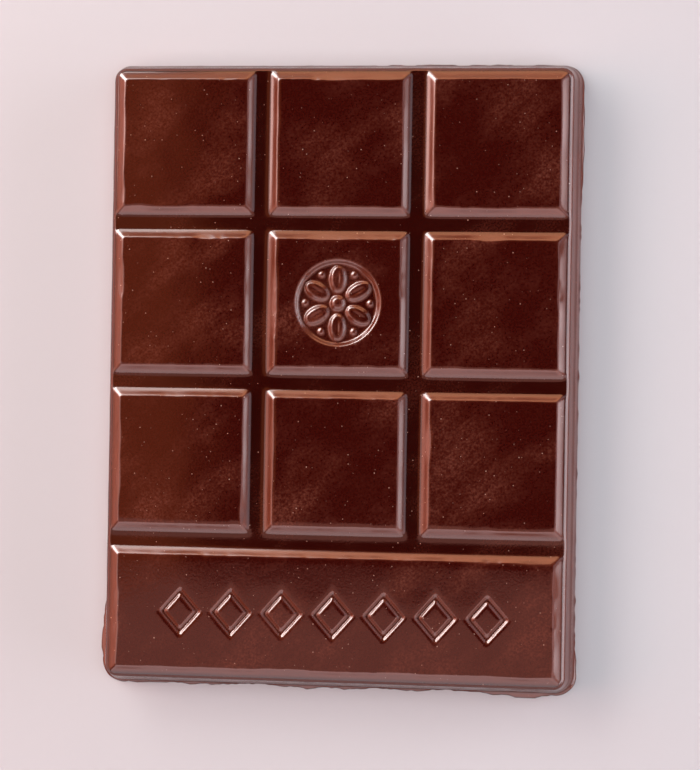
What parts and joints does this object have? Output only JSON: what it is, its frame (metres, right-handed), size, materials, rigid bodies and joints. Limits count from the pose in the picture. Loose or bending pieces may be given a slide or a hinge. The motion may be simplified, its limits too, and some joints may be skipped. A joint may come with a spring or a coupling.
{
  "type": "chocolate bar",
  "caption": "Moulded dark chocolate bar to break into pieces: raised squares with sloping sides, a flower in a round hollow, and a wide panel with engraved lozenges.",
  "frame": {"origin": "middle of the bar's back, on the plane it lies on", "axes": "+X across the bar, +Y along it towards the end away from the wide panel, +Z out of the moulded face"},
  "size_m": [0.08, 0.1048, 0.008],
  "materials": {
    "chocolate": "tempered dark chocolate, glossy where it lay against the mould, with faint cloudy bloom and fine specks"
  },
  "bodies": {
    "root": {"chocolate_bar": "chocolate"}
  },
  "joints": []
}
